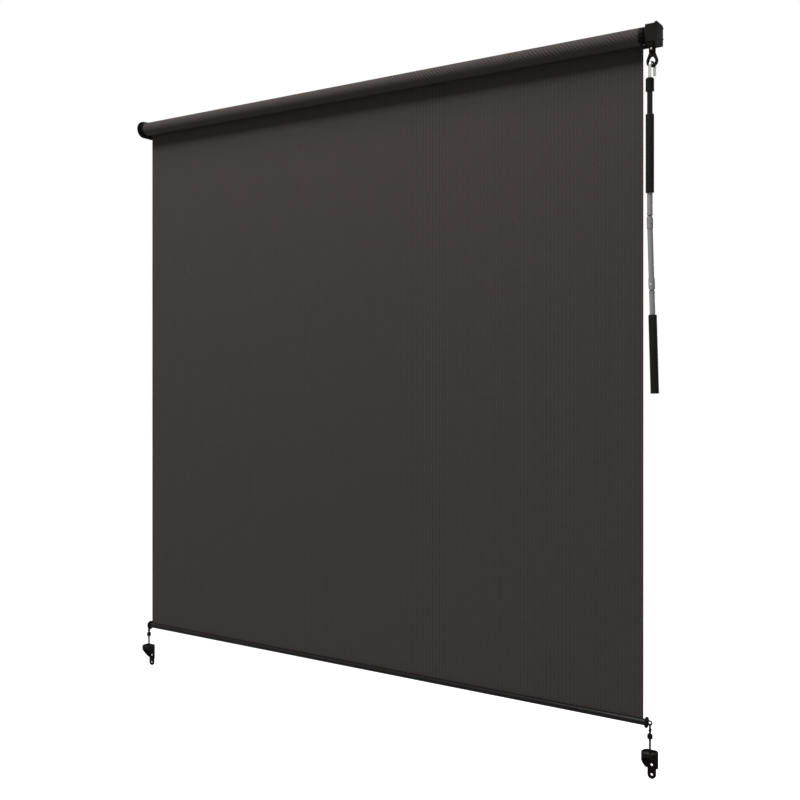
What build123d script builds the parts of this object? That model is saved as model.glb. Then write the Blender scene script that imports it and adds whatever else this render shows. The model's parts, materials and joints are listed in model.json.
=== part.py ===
from build123d import *
import math
import os

# Outdoor roller blind with a worm drive, a folding crank and two elastic tie-downs.
# X runs along the roller, Y points at the wall and Z is up. The origin lies on the wall,
# midway between the two wall brackets and level with the roller axis.

os.makedirs("parts", exist_ok=True)

# Clearances
running_gap = 0.3
turning_gap = 0.05
seat_gap = 0.02
overrun = 5

# Fabric and roller
fabric_width = 1830
drop_height = 1820
fabric_thickness = 0.6
roll_diameter = 45.5
tube_diameter = 38
tube_wall = 1.2
wall_standoff = 39
cap_spigot_length = 40
cap_bore_wall = 3

# Idle end
idle_flange_diameter = 50.5
idle_flange_thickness = 4
idle_step_diameter = 40
idle_step_length = 5
idle_rim = 2
pin_diameter = 10
pin_inset = 30
idle_plate_reach = 21
idle_plate_thickness = 5
idle_plate_half_height = 29
idle_bush_diameter = 16
idle_bush_flange_diameter = 24
idle_bush_flange = 2.5

# Drive end
collar_diameter = 44.5
collar_length = 13
collar_rim = 3.5
collar_grooves = 12
groove_width = 3
groove_depth = 1.8
collar_chamfer = 1.2
socket_depth = 25
shaft_side = 8
drive_plate_reach = 21
drive_plate_thickness = 4
drive_plate_half_height = 22

# Wall flanges of both brackets
flange_thickness = 4
flange_length = 52
flange_corner = 6
wall_screw_inset = 14
wall_screw_rise = 13
wall_hole_diameter = 5.5

# Gear casing
housing_front = 26.5
housing_back = 24.5
housing_top = 22
housing_drop = 28
housing_width = 25
housing_corner = 4
housing_wall = 6
spigot_diameter = 20
boss_depth = 21
boss_corner = 3
boss_end_width = 18.2
boss_end_corner = 9
boss_drop = 38
cover_thickness = 6
cover_top = 25
cover_back_drop = 29
cover_front_drop = 46
cover_corner = 4
cover_edge = 1.2

# Worm drive
eye_overhang = 36.8
gear_module = 1.5
worm_starts = 2
wheel_teeth = 14
worm_pitch_diameter = 11
tooth_share = 0.4
flank_slope_share = 0.364
dedendum_share = 1.27
wheel_face = 5
wheel_hub_diameter = 14
wheel_pocket_gap = 1.5
worm_pocket_gap = 1
worm_thread_length = 12
worm_neck_length = 2.5
worm_turns_per_step_share = 1 / 15
journal_diameter = 9
journal_length = 5
worm_pocket_top = 13
worm_pocket_drop = 24
wheel_bush_diameter = 17
wheel_bush_length = 10
outer_bush_depth = 4
worm_bush_diameter = 12

# Small screws
screw_diameter = 3
screw_head_diameter = 6
screw_head_height = 2
screw_length = 12
cover_screw_back = 19.5
cover_screw_heights = (17, -11)
plate_screw_rise = 16

# Crank eye
neck_diameter = 17.5
neck_top_gap = 0.5
neck_length = 12
eye_pin_diameter = 4.5
eye_pin_drop = 5
ring_diameter = 31.5
ring_section = 8
ring_drop = 90
ring_edge = 3.6
ring_shoulder_radius = 8.5
ring_shoulder_rise = 20
ring_slot_radius = 5
ring_slot_rise = 6

# Crank hook and collar
hook_wire = 7.6
hook_bend_radius = 9.6
hook_gap = 1.2
hook_angle = 70
hook_tip_length = 25
hook_tip_chamfer = 1.2
collar_top_drop = 118.7
ferrule_diameter = 21.3
ferrule_length = 34
ferrule_chamfer = 3
ferrule_flare = 0.5
ferrule_flare_length = 6
ferrule_socket = 15
ferrule_web = 5

# Crank tubes, grips and elbows
crank_tube_diameter = 14
crank_tube_wall = 1.2
grip_diameter = 21.3
grip_length = 202
grip_edge = 2.5
grip_gap = 0.15
upper_grip_drop = 211.5
tube_break_drop = 300
joiner_length = 40
elbow_drop = 488.4
elbow_slot = 5.4
elbow_pin_diameter = 4
elbow_diameter = 16
elbow_head = 16
elbow_overhang = 7
elbow_slot_rise = 9.5
elbow_shoulder = 17.8
elbow_neck = 11
elbow_tongue_diameter = 15
elbow_tongue_head = 23
rivet_seat = 7
rivet_head_diameter = 6.5
rivet_head_height = 1.4
elbow_spigot = 20
arm_length = 159.4
arm_tilt = 1.7
lower_grip_offset = 78
handle_inset = 12
handle_cap_diameter = 18
handle_cap_thickness = 3

# Hem bar
hem_diameter = 17.5
hem_wall = 1.5
hem_overhang = 6
keder_diameter = 6
keder_wall = 1.5
keder_slot = 2
sheet_tuck = 1.2
spline_diameter = 5
plug_spigot_length = 30
plug_flange_diameter = 28.5
plug_flange_thickness = 4
plug_flange_edge = 1.2
tie_overhang = 17
plug_eye_diameter = 14
plug_eye_hole = 7
plug_eye_thickness = 4
plug_eye_edge = 1
plug_neck_height = 7

# Tie-downs
staple_wire = 2.8
staple_bend_radius = 3.9
staple_length = 27
staple_inset = 6
bead_diameter = 14
bead_length = 16
bead_chamfer = 3.5
cord_diameter = 5
cord_bead_depth = 8
tie_drop = 73.25
tie_height = 77
tie_tab_width = 23
tie_plate_thickness = 3
tie_hole_diameter = 6.5
tie_hole_drop = 40
tie_hole_spacing = 25.5
cup_diameter = 44
cup_standoff = 17.5
cup_edge = 2
cup_lip = 8
cup_height = 49
cup_slant_reach = 22
cup_slant_drop = 25
cup_wall = 2.5
cup_pocket = 5
cup_web = 4
knot_diameter = 9
cord_hole_gap = 0.2

# Places worked out from those sizes
axis_y = -wall_standoff
fabric_end = fabric_width / 2
tube_radius = tube_diameter / 2
tube_bore = tube_radius - tube_wall
roll_radius = roll_diameter / 2
pin_radius = pin_diameter / 2
sheet_y = axis_y + roll_radius + running_gap + fabric_thickness / 2
hem_radius = hem_diameter / 2
hem_z = roll_radius - drop_height + hem_radius
idle_plate_x = fabric_end + idle_plate_reach
drive_plate_x = fabric_end + drive_plate_reach
housing_x = drive_plate_x
cover_x = housing_x + housing_width
wall_screw_x = fabric_end - wall_screw_inset
eye_x = fabric_end + eye_overhang
worm_pitch_radius = worm_pitch_diameter / 2
wheel_pitch_radius = gear_module * wheel_teeth / 2
eye_y = axis_y - worm_pitch_radius - wheel_pitch_radius
axial_pitch = math.pi * gear_module
worm_lead = axial_pitch * worm_starts
journal_radius = journal_diameter / 2
ring_radius = ring_diameter / 2
ring_z = ring_radius - ring_drop
ring_bar_z = ring_z - ring_radius + ring_section / 2
neck_top = -boss_drop - neck_top_gap
eye_pin_z = neck_top - eye_pin_drop
hook_bend_z = ring_bar_z + ring_section / 2 + hook_gap + hook_wire / 2 - hook_bend_radius
hook_shift = Vector(hook_bend_radius, 0, 0).rotate(Axis.Z, hook_angle)
crank_x = eye_x - hook_shift.X
crank_y = eye_y - hook_shift.Y
crank_tube_radius = crank_tube_diameter / 2
crank_tube_bore = crank_tube_radius - crank_tube_wall
grip_bore = crank_tube_radius + grip_gap
arm_slant = math.radians(arm_tilt)
tie_x = fabric_end + tie_overhang
plug_eye_bar_radius = (plug_eye_diameter + plug_eye_hole) / 4
plug_eye_bar = (plug_eye_diameter - plug_eye_hole) / 2
staple_bend_z = (
    hem_z - plug_eye_bar_radius + plug_eye_bar / 2 + running_gap + staple_wire / 2 - staple_bend_radius
)
bead_top = hem_z - staple_length
tie_top = hem_z - tie_drop

# Planes and axes that several pieces share
roller_axis = Axis((0, axis_y, 0), (1, 0, 0))
roller_section = Plane(origin=(0, axis_y, 0), x_dir=(1, 0, 0), z_dir=(0, -1, 0))
wall_front = Plane(origin=(0, 0, 0), x_dir=(1, 0, 0), z_dir=(0, -1, 0))
eye_front = Plane(origin=(eye_x, eye_y, 0), x_dir=(1, 0, 0), z_dir=(0, -1, 0))
upper_pivot = Plane((crank_x, crank_y, -elbow_drop))
arm_pivot = Plane(
    upper_pivot.origin,
    x_dir=(math.cos(arm_slant), 0, math.sin(arm_slant)),
    z_dir=(-math.sin(arm_slant), 0, math.cos(arm_slant)),
)
lower_pivot = arm_pivot.offset(-arm_length)
tube_end_pivot = Plane(upper_pivot.origin, x_dir=-upper_pivot.x_dir, z_dir=-upper_pivot.z_dir)
arm_top_pivot = Plane(arm_pivot.origin, x_dir=-arm_pivot.x_dir, z_dir=-arm_pivot.z_dir)


def across(x):
    """The plane across the roller at x, with its own x towards the wall and its own y up."""
    return Plane(origin=(x, axis_y, 0), x_dir=(0, 1, 0), z_dir=(1, 0, 0))


def level(x, y, z):
    """A level plane at a point."""
    return Plane((x, y, z))


# Roller tube
with BuildPart() as roller_tube:
    with BuildSketch(across(-fabric_end)):
        Circle(tube_radius)
        Circle(tube_bore, mode=Mode.SUBTRACT)
    extrude(amount=fabric_width)
roller_tube.part.label = "roller_tube"
export_step(roller_tube.part, "parts/roller_tube.step")

# Wound fabric, all its turns as one solid
with BuildPart() as fabric_roll:
    with BuildSketch(across(-fabric_end)):
        Circle(roll_radius)
        Circle(tube_radius + seat_gap, mode=Mode.SUBTRACT)
    extrude(amount=fabric_width)
fabric_roll.part.label = "fabric_roll"
export_step(fabric_roll.part, "parts/fabric_roll.step")

# Hanging fabric, from the back of the roll down into the hem bar
sheet_bottom = hem_z + hem_radius - sheet_tuck
with BuildPart() as fabric_sheet:
    with BuildSketch(level(0, sheet_y, sheet_bottom)):
        Rectangle(fabric_width, fabric_thickness)
    extrude(amount=-sheet_bottom)
fabric_sheet.part.label = "fabric_sheet"
export_step(fabric_sheet.part, "parts/fabric_sheet.step")

# Idle end cap, a flanged plug with a stepped rim
idle_flange_x = fabric_end + idle_flange_thickness
idle_step_x = idle_flange_x + idle_step_length
with BuildPart() as idle_cap:
    with BuildSketch(roller_section):
        with BuildLine():
            Polyline(
                (cap_spigot_length - fabric_end, pin_radius + seat_gap),
                (cap_spigot_length - fabric_end, pin_radius + cap_bore_wall),
                (idle_rim - fabric_end, pin_radius + cap_bore_wall),
                (idle_rim - fabric_end, tube_bore - cap_bore_wall),
                (cap_spigot_length - fabric_end, tube_bore - cap_bore_wall),
                (cap_spigot_length - fabric_end, tube_bore - seat_gap),
                (-fabric_end, tube_bore - seat_gap),
                (-fabric_end, idle_flange_diameter / 2),
                (-idle_flange_x, idle_flange_diameter / 2),
                (-idle_flange_x, idle_step_diameter / 2),
                (-idle_step_x, idle_step_diameter / 2 - idle_rim),
                (-idle_step_x, pin_radius + seat_gap),
                close=True,
            )
        make_face()
    revolve(axis=roller_axis)
idle_cap.part.label = "idle_cap"
export_step(idle_cap.part, "parts/idle_cap.step")

# Idle pin, pressed into the cap and turning in the bracket's bush
with BuildPart() as idle_pin:
    with BuildSketch(across(-idle_plate_x)):
        Circle(pin_radius)
    extrude(amount=idle_plate_reach + pin_inset)
idle_pin.part.label = "idle_pin"
export_step(idle_pin.part, "parts/idle_pin.step")

# Drive end cap, a grooved collar with a square socket
with BuildPart() as drive_cap:
    with BuildSketch(across(fabric_end - cap_spigot_length)):
        Circle(tube_bore - seat_gap)
    extrude(amount=cap_spigot_length)
    with BuildSketch(across(fabric_end)):
        Circle(collar_diameter / 2)
    extrude(amount=collar_length)
    chamfer(drive_cap.edges().group_by(Axis.X)[-1], collar_chamfer)
    with BuildSketch(across(fabric_end + collar_rim)):
        with PolarLocations(collar_diameter / 2, collar_grooves):
            Rectangle(2 * groove_depth, groove_width)
    extrude(amount=collar_length, mode=Mode.SUBTRACT)
    with BuildSketch(across(fabric_end - socket_depth)):
        Rectangle(shaft_side + 2 * seat_gap, shaft_side + 2 * seat_gap)
    extrude(amount=socket_depth + collar_length + overrun, mode=Mode.SUBTRACT)
drive_cap.part.label = "drive_cap"
export_step(drive_cap.part, "parts/drive_cap.step")

# Square drive shaft from the end cap through the worm wheel
shaft_length = socket_depth + drive_plate_reach + housing_width
with BuildPart() as drive_shaft:
    with BuildSketch(across(fabric_end - socket_depth)):
        Rectangle(shaft_side, shaft_side)
    extrude(amount=shaft_length)
drive_shaft.part.label = "drive_shaft"
export_step(drive_shaft.part, "parts/drive_shaft.step")


def wall_bracket(side, plate_x, thickness, half_height, bore_radius):
    """An angle bracket: a plate across the roller with a round nose, and a flange on the wall."""
    outer = side * plate_x
    flange_middle = outer - side * flange_length / 2
    with BuildPart() as bracket:
        with BuildSketch(across(outer)):
            Circle(half_height)
            with Locations((wall_standoff / 2, 0)):
                Rectangle(wall_standoff, 2 * half_height)
            Circle(bore_radius, mode=Mode.SUBTRACT)
        extrude(amount=-side * thickness)
        with BuildSketch(wall_front):
            with Locations((flange_middle, 0)):
                RectangleRounded(flange_length, 2 * half_height, flange_corner)
            with Locations((outer - side * flange_length / 4, 0)):
                Rectangle(flange_length / 2, 2 * half_height)
            with Locations(
                (side * wall_screw_x, wall_screw_rise),
                (side * wall_screw_x, -wall_screw_rise),
            ):
                Circle(wall_hole_diameter / 2, mode=Mode.SUBTRACT)
        extrude(amount=flange_thickness)
    return bracket.part


# Idle bracket
idle_bracket = wall_bracket(
    -1, idle_plate_x, idle_plate_thickness, idle_plate_half_height, idle_bush_diameter / 2 + seat_gap
)
idle_bracket.label = "idle_bracket"
export_step(idle_bracket, "parts/idle_bracket.step")

# Idle bush, a flanged sleeve in the idle bracket
idle_plate_inner = idle_plate_x - idle_plate_thickness
with BuildPart() as idle_bush:
    with BuildSketch(across(-idle_plate_x)):
        Circle(idle_bush_diameter / 2)
    extrude(amount=idle_plate_thickness)
    with BuildSketch(across(-idle_plate_inner)):
        Circle(idle_bush_flange_diameter / 2)
    extrude(amount=idle_bush_flange)
    with BuildSketch(across(-idle_plate_x)):
        Circle(pin_radius + turning_gap)
    extrude(amount=idle_plate_reach, mode=Mode.SUBTRACT)
idle_bush.part.label = "idle_bush"
export_step(idle_bush.part, "parts/idle_bush.step")

# Drive bracket, with a hole for the casing's spigot and two screw holes
drive_plate_inner = drive_plate_x - drive_plate_thickness
drive_bracket_blank = wall_bracket(
    1, drive_plate_x, drive_plate_thickness, drive_plate_half_height, spigot_diameter / 2 + seat_gap
)
with BuildPart() as drive_bracket:
    add(drive_bracket_blank)
    with BuildSketch(across(drive_plate_inner)):
        with Locations((0, plate_screw_rise), (0, -plate_screw_rise)):
            Circle(screw_diameter / 2 + seat_gap)
    extrude(amount=drive_plate_thickness, mode=Mode.SUBTRACT)
drive_bracket.part.label = "drive_bracket"
export_step(drive_bracket.part, "parts/drive_bracket.step")

# Gear casing: a moulded block with a tapered worm boss, hollow for the gears
pocket_x = housing_x + housing_wall
wheel_tip = wheel_pitch_radius + gear_module
worm_tip = worm_pitch_radius + gear_module
casing_depth = housing_front + housing_back
casing_height = housing_top + housing_drop
with BuildPart() as gear_housing:
    with BuildSketch(across(housing_x)):
        with Locations(((housing_back - housing_front) / 2, (housing_top - housing_drop) / 2)):
            RectangleRounded(casing_depth, casing_height, housing_corner)
    extrude(amount=housing_width)
    with BuildSketch(level(housing_x + housing_width / 2, eye_y, -housing_drop)):
        RectangleRounded(housing_width, boss_depth, boss_corner)
    with BuildSketch(level(eye_x, eye_y, -boss_drop)):
        RectangleRounded(boss_end_width, boss_end_width, boss_end_corner)
    loft()
    with BuildSketch(across(housing_x)):
        Circle(spigot_diameter / 2)
    extrude(amount=-drive_plate_thickness)
    with BuildSketch(across(pocket_x)):
        Circle(wheel_tip + wheel_pocket_gap)
    extrude(amount=housing_width, mode=Mode.SUBTRACT)
    with BuildSketch(across(drive_plate_inner)):
        Circle(wheel_bush_diameter / 2 + seat_gap)
    extrude(amount=pocket_x - drive_plate_inner, mode=Mode.SUBTRACT)
    with BuildSketch(level(eye_x, eye_y, -worm_pocket_drop)):
        Circle(worm_tip + worm_pocket_gap)
    extrude(amount=worm_pocket_drop + worm_pocket_top, mode=Mode.SUBTRACT)
    with BuildSketch(level(eye_x, eye_y, -boss_drop)):
        Circle(worm_bush_diameter / 2 + seat_gap)
    extrude(amount=boss_drop - worm_pocket_drop, mode=Mode.SUBTRACT)
    with BuildSketch(level(eye_x, eye_y, worm_pocket_top)):
        Circle(journal_radius + turning_gap)
    extrude(amount=journal_length + running_gap, mode=Mode.SUBTRACT)
    with BuildSketch(across(housing_x)):
        with Locations((0, plate_screw_rise), (0, -plate_screw_rise)):
            Circle(screw_diameter / 2 + seat_gap)
    extrude(amount=screw_length - drive_plate_thickness, mode=Mode.SUBTRACT)
    with BuildSketch(across(cover_x)):
        with Locations(*[(cover_screw_back, height) for height in cover_screw_heights]):
            Circle(screw_diameter / 2 + seat_gap)
    extrude(amount=-(screw_length - cover_thickness), mode=Mode.SUBTRACT)
gear_housing.part.label = "gear_housing"
export_step(gear_housing.part, "parts/gear_housing.step")

# Casing cover, taller than the block and sloping up towards the wall below
with BuildPart() as gear_cover:
    with BuildSketch(across(cover_x)) as cover_outline:
        with BuildLine():
            Polyline(
                (-housing_front, cover_top),
                (housing_back, cover_top),
                (housing_back, -cover_back_drop),
                (-housing_front, -cover_front_drop),
                close=True,
            )
        make_face()
        fillet(cover_outline.vertices(), cover_corner)
    extrude(amount=cover_thickness)
    fillet(gear_cover.edges().group_by(Axis.X)[-1], cover_edge)
    with BuildSketch(across(cover_x)):
        Circle(wheel_bush_diameter / 2 + seat_gap)
    extrude(amount=outer_bush_depth, mode=Mode.SUBTRACT)
    with BuildSketch(across(cover_x)):
        with Locations(*[(cover_screw_back, height) for height in cover_screw_heights]):
            Circle(screw_diameter / 2 + seat_gap)
    extrude(amount=cover_thickness, mode=Mode.SUBTRACT)
gear_cover.part.label = "gear_cover"
export_step(gear_cover.part, "parts/gear_cover.step")

# Cover screws
with BuildPart() as cover_screws:
    with BuildSketch(across(cover_x + cover_thickness)):
        with Locations(*[(cover_screw_back, height) for height in cover_screw_heights]):
            Circle(screw_diameter / 2)
    extrude(amount=-screw_length)
    with BuildSketch(across(cover_x + cover_thickness)):
        with Locations(*[(cover_screw_back, height) for height in cover_screw_heights]):
            Circle(screw_head_diameter / 2)
    extrude(amount=screw_head_height)
cover_screws.part.label = "cover_screws"
export_step(cover_screws.part, "parts/cover_screws.step")

# Screws that hold the casing on the drive bracket
with BuildPart() as housing_screws:
    with BuildSketch(across(drive_plate_inner)):
        with Locations((0, plate_screw_rise), (0, -plate_screw_rise)):
            Circle(screw_diameter / 2)
    extrude(amount=screw_length)
    with BuildSketch(across(drive_plate_inner)):
        with Locations((0, plate_screw_rise), (0, -plate_screw_rise)):
            Circle(screw_head_diameter / 2)
    extrude(amount=-screw_head_height)
housing_screws.part.label = "housing_screws"
export_step(housing_screws.part, "parts/housing_screws.step")

# Worm wheel: teeth on a hub with a square bore, cut on a slant to follow the worm
lead_slope = worm_lead / (math.pi * worm_pitch_diameter)
wheel_twist = math.degrees(wheel_face / 2 * lead_slope / wheel_pitch_radius)
tooth_half = tooth_share * axial_pitch / 2
dedendum = dedendum_share * gear_module


def wheel_outline(turn):
    """Corners of the wheel's teeth, each tooth as a trapezium, turned by an angle."""
    root = wheel_pitch_radius - dedendum
    root_half = math.degrees((tooth_half + dedendum * flank_slope_share) / root)
    tip_half = math.degrees((tooth_half - gear_module * flank_slope_share) / wheel_tip)
    corners = []
    for tooth in range(wheel_teeth):
        middle = 180 + turn + tooth * 360 / wheel_teeth
        tooth_corners = ((root, -root_half), (wheel_tip, -tip_half), (wheel_tip, tip_half), (root, root_half))
        for radius, swing in tooth_corners:
            corners.append(tuple(Vector(radius, 0, 0).rotate(Axis.Z, middle + swing))[:2])
    return corners


with BuildPart() as worm_wheel:
    for step in (-1, 1):
        with BuildSketch(across(eye_x + step * wheel_face / 2)):
            with BuildLine():
                Polyline(*wheel_outline(step * wheel_twist), close=True)
            make_face()
    loft(ruled=True)
    with BuildSketch(across(drive_plate_inner + running_gap)):
        Circle(wheel_hub_diameter / 2)
    extrude(amount=cover_x + outer_bush_depth - drive_plate_inner - 2 * running_gap)
    with BuildSketch(across(drive_plate_inner)):
        Rectangle(shaft_side + 2 * seat_gap, shaft_side + 2 * seat_gap)
    extrude(amount=drive_plate_thickness + housing_width + cover_thickness, mode=Mode.SUBTRACT)
worm_wheel.part.label = "worm_wheel"
export_step(worm_wheel.part, "parts/worm_wheel.step")

# Plain bushes for the wheel's hub, one in the casing and one in the cover
with BuildPart() as wheel_bush_inner:
    with BuildSketch(across(drive_plate_inner)):
        Circle(wheel_bush_diameter / 2)
        Circle(wheel_hub_diameter / 2 + turning_gap, mode=Mode.SUBTRACT)
    extrude(amount=wheel_bush_length)
wheel_bush_inner.part.label = "wheel_bush_inner"
export_step(wheel_bush_inner.part, "parts/wheel_bush_inner.step")

with BuildPart() as wheel_bush_outer:
    with BuildSketch(across(cover_x)):
        Circle(wheel_bush_diameter / 2)
        Circle(wheel_hub_diameter / 2 + turning_gap, mode=Mode.SUBTRACT)
    extrude(amount=outer_bush_depth)
wheel_bush_outer.part.label = "wheel_bush_outer"
export_step(wheel_bush_outer.part, "parts/wheel_bush_outer.step")

# Bush for the worm's shaft in the boss
with BuildPart() as worm_bush:
    with BuildSketch(level(eye_x, eye_y, -boss_drop)):
        Circle(worm_bush_diameter / 2)
        Circle(journal_radius + turning_gap, mode=Mode.SUBTRACT)
    extrude(amount=boss_drop - worm_pocket_drop)
worm_bush.part.label = "worm_bush"
export_step(worm_bush.part, "parts/worm_bush.step")


def worm_outline(turn):
    """Corners of the worm's section: one lobe for each start, turned by an angle."""
    corners = []
    profile = []
    for radius in (worm_pitch_radius - dedendum, worm_pitch_radius, worm_tip):
        half = tooth_half - (radius - worm_pitch_radius) * flank_slope_share
        profile.append((radius, half / worm_lead * 360))
    for start in range(worm_starts):
        middle = turn + start * 360 / worm_starts
        rising = [(radius, middle - half) for radius, half in profile]
        falling = [(radius, middle + half) for radius, half in reversed(profile)]
        for radius, angle in rising + falling:
            corners.append(tuple(Vector(radius, 0, 0).rotate(Axis.Z, angle))[:2])
    return corners


# Worm with its shaft: the thread is a ruled loft through turned sections
worm_root = worm_pitch_radius - dedendum
worm_half = worm_thread_length / 2
worm_steps = math.ceil(worm_thread_length / worm_lead / worm_turns_per_step_share)
worm_shoulder = worm_half + worm_neck_length
worm_end = neck_top - neck_length + eye_pin_drop / 2
with BuildPart() as worm_shaft:
    for step in range(worm_steps + 1):
        height = worm_thread_length * step / worm_steps - worm_half
        with BuildSketch(level(eye_x, eye_y, height)):
            with BuildLine():
                Polyline(*worm_outline(height / worm_lead * 360), close=True)
            make_face()
    loft(ruled=True)
    with BuildSketch(level(eye_x, eye_y, worm_half)):
        Circle(worm_root)
    extrude(amount=worm_neck_length)
    with BuildSketch(level(eye_x, eye_y, -worm_half)):
        Circle(worm_root)
    extrude(amount=-worm_neck_length)
    with BuildSketch(level(eye_x, eye_y, worm_shoulder)):
        Circle(journal_radius)
    extrude(amount=worm_pocket_top + journal_length - worm_shoulder)
    with BuildSketch(level(eye_x, eye_y, -worm_shoulder)):
        Circle(journal_radius)
    extrude(amount=worm_end + worm_shoulder)
    with BuildSketch(eye_front):
        with Locations((0, eye_pin_z)):
            Circle(eye_pin_diameter / 2 + seat_gap)
    extrude(amount=neck_diameter, both=True, mode=Mode.SUBTRACT)
worm_shaft.part.label = "worm_shaft"
export_step(worm_shaft.part, "parts/worm_shaft.step")

# Crank eye: a teardrop ring below a round neck
with BuildPart() as crank_eye:
    with BuildSketch(eye_front) as ring_outline:
        with Locations((0, ring_z)):
            Circle(ring_radius)
        with Locations((0, ring_z + ring_shoulder_rise)):
            Circle(ring_shoulder_radius)
        make_hull()
        with BuildSketch(eye_front, mode=Mode.SUBTRACT):
            with Locations((0, ring_z)):
                Circle(ring_radius - ring_section)
            with Locations((0, ring_z + ring_slot_rise)):
                Circle(ring_slot_radius)
            make_hull()
    extrude(amount=ring_section / 2, both=True)
    rims = crank_eye.faces().filter_by(Axis.Y).edges()
    fillet(rims, ring_edge)
    with BuildSketch(level(eye_x, eye_y, neck_top)):
        Circle(neck_diameter / 2)
    extrude(amount=-neck_length)
    with BuildSketch(level(eye_x, eye_y, neck_top)):
        Circle(journal_radius + seat_gap)
    extrude(amount=worm_end - neck_top - seat_gap, mode=Mode.SUBTRACT)
    with BuildSketch(eye_front):
        with Locations((0, eye_pin_z)):
            Circle(eye_pin_diameter / 2 + seat_gap)
    extrude(amount=neck_diameter, both=True, mode=Mode.SUBTRACT)
crank_eye.part.label = "crank_eye"
export_step(crank_eye.part, "parts/crank_eye.step")

# Cross pin through the eye's neck and the worm's shaft
with BuildPart() as eye_pin:
    with BuildSketch(eye_front):
        with Locations((0, eye_pin_z)):
            Circle(eye_pin_diameter / 2)
    extrude(amount=neck_diameter / 2, both=True)
eye_pin.part.label = "eye_pin"
export_step(eye_pin.part, "parts/eye_pin.step")

# Crank hook: an upturned J of round rod over the eye's lower bar
hook_plane = Plane(
    origin=(eye_x, eye_y, hook_bend_z),
    x_dir=hook_shift.normalized(),
    z_dir=hook_shift.normalized().cross(Vector(0, 0, 1)),
)
ferrule_floor = collar_top_drop + ferrule_length - ferrule_socket
shank_length = hook_bend_z + ferrule_floor - ferrule_web
with BuildPart() as crank_hook:
    with BuildLine(hook_plane) as hook_line:
        Line((-hook_bend_radius, -shank_length), (-hook_bend_radius, 0))
        ThreePointArc((-hook_bend_radius, 0), (0, hook_bend_radius), (hook_bend_radius, 0))
        Line((hook_bend_radius, 0), (hook_bend_radius, -hook_tip_length))
    with BuildSketch(level(crank_x, crank_y, hook_bend_z - shank_length)):
        Circle(hook_wire / 2)
    sweep(path=hook_line.wires()[0])
    tip = crank_hook.faces().filter_by(Axis.Z).sort_by(Axis.Z)[-1]
    chamfer(tip.edges(), hook_tip_chamfer)
crank_hook.part.label = "crank_hook"
export_step(crank_hook.part, "parts/crank_hook.step")

# Ferrule that joins the hook to the tube, chamfered above and flared below
crank_axis = Axis((crank_x, crank_y, 0), (0, 0, 1))
crank_section = Plane(origin=(crank_x, crank_y, 0), x_dir=(1, 0, 0), z_dir=(0, -1, 0))
ferrule_radius = ferrule_diameter / 2
ferrule_bottom = collar_top_drop + ferrule_length
with BuildPart() as hook_ferrule:
    with BuildSketch(crank_section):
        with BuildLine():
            Polyline(
                (hook_wire / 2 + seat_gap, -collar_top_drop),
                (ferrule_radius - ferrule_chamfer, -collar_top_drop),
                (ferrule_radius, -collar_top_drop - ferrule_chamfer),
                (ferrule_radius, ferrule_flare_length - ferrule_bottom),
                (ferrule_radius + ferrule_flare, -ferrule_bottom),
                (crank_tube_radius + seat_gap, -ferrule_bottom),
                (crank_tube_radius + seat_gap, -ferrule_floor),
                (hook_wire / 2 + seat_gap, -ferrule_floor),
                close=True,
            )
        make_face()
    revolve(axis=crank_axis)
hook_ferrule.part.label = "hook_ferrule"
export_step(hook_ferrule.part, "parts/hook_ferrule.step")

# Crank tubes above the first elbow, butted inside the grip over a joiner
with BuildPart() as upper_tube:
    with BuildSketch(level(crank_x, crank_y, -ferrule_floor)):
        Circle(crank_tube_radius)
        Circle(crank_tube_bore, mode=Mode.SUBTRACT)
    extrude(amount=ferrule_floor - tube_break_drop)
upper_tube.part.label = "upper_tube"
export_step(upper_tube.part, "parts/upper_tube.step")

with BuildPart() as tube_joiner:
    with BuildSketch(level(crank_x, crank_y, -tube_break_drop - joiner_length / 2)):
        Circle(crank_tube_bore - seat_gap)
    extrude(amount=joiner_length)
tube_joiner.part.label = "tube_joiner"
export_step(tube_joiner.part, "parts/tube_joiner.step")

with BuildPart() as lower_tube:
    with BuildSketch(level(crank_x, crank_y, -tube_break_drop)):
        Circle(crank_tube_radius)
        Circle(crank_tube_bore, mode=Mode.SUBTRACT)
    extrude(amount=tube_break_drop + elbow_tongue_head - elbow_drop)
lower_tube.part.label = "lower_tube"
export_step(lower_tube.part, "parts/lower_tube.step")


def grip(top, length):
    """A sleeve that turns on its tube, hanging down from a plane."""
    with BuildPart() as sleeve:
        with BuildSketch(top):
            Circle(grip_diameter / 2)
        extrude(amount=-length)
        fillet(sleeve.edges(), grip_edge)
        with BuildSketch(top):
            Circle(grip_bore)
        extrude(amount=-length, mode=Mode.SUBTRACT)
    return sleeve.part


# Upper grip
upper_grip = grip(level(crank_x, crank_y, -upper_grip_drop), grip_length)
upper_grip.label = "upper_grip"
export_step(upper_grip, "parts/upper_grip.step")


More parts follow.
